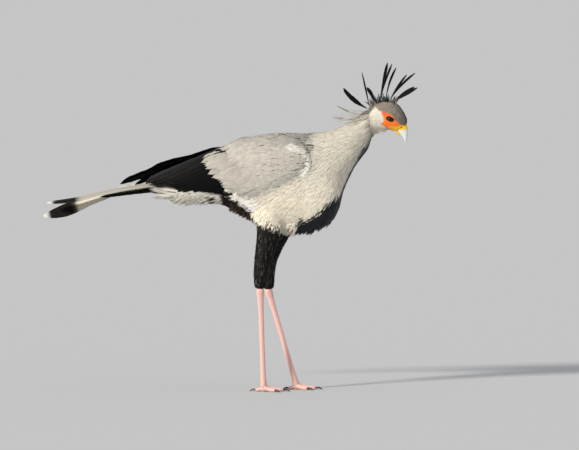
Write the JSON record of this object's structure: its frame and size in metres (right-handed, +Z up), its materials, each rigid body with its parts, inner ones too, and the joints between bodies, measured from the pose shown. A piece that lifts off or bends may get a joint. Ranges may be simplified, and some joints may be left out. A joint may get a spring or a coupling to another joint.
{
  "type": "secretary bird",
  "caption": "Life-size secretary bird, standing in mid-stride with lowered head and raised crest: long legs, hooked bill, folded wings and long central tail feathers.",
  "frame": {"origin": "on the floor, midway along the bird between the foremost crest plume and the tail streamers' tips, in its middle plane", "axes": "+X towards the bill, +Y to the bird's left, +Z up"},
  "size_m": [1.1228, 0.2066, 0.9853],
  "materials": {
    "plumage_pale": "soft matte feathers, cream to pale grey",
    "plumage_grey": "close smooth feathers, pale warm grey",
    "plumage_black": "black feathers with a faint sheen",
    "bare_skin": "bare orange and yellow facial skin",
    "leg_scales": "scaled pinkish skin, slightly waxy",
    "bill_horn": "smooth pale grey horn",
    "claw_horn": "dark polished horn",
    "eye_gloss": "wet gloss"
  },
  "bodies": {
    "root": {"head": "plumage_grey", "neck": "plumage_pale", "trunk": "plumage_pale", "tail": "plumage_black", "tail_streamer_left": "plumage_grey", "tail_streamer_right": "plumage_grey", "wing_left": "plumage_grey", "wing_right": "plumage_grey", "quills_left": "plumage_black", "quills_right": "plumage_black", "shin_left": "plumage_black", "shin_right": "plumage_black", "shank_left": "leg_scales", "shank_right": "leg_scales", "foot_left": "leg_scales", "foot_right": "leg_scales", "claw_middle_left": "claw_horn", "claw_inner_left": "claw_horn", "claw_outer_left": "claw_horn", "claw_hind_left": "claw_horn", "claw_middle_right": "claw_horn", "claw_inner_right": "claw_horn", "claw_outer_right": "claw_horn", "claw_hind_right": "claw_horn", "eye_left": "eye_gloss", "eye_right": "eye_gloss", "bill_upper": "bill_horn", "bill_lower": "bare_skin", "crest_plume_01": "plumage_black", "crest_plume_02": "plumage_black", "crest_plume_03": "plumage_black", "crest_plume_04": "plumage_black", "crest_plume_05": "plumage_black", "crest_plume_06": "plumage_black", "crest_plume_07": "plumage_black", "crest_plume_08": "plumage_black", "crest_plume_09": "plumage_black", "crest_plume_10": "plumage_black", "crest_plume_11": "plumage_black", "crest_plume_12": "plumage_black", "nape_plume_01": "plumage_grey", "nape_plume_02": "plumage_grey"}
  },
  "joints": []
}
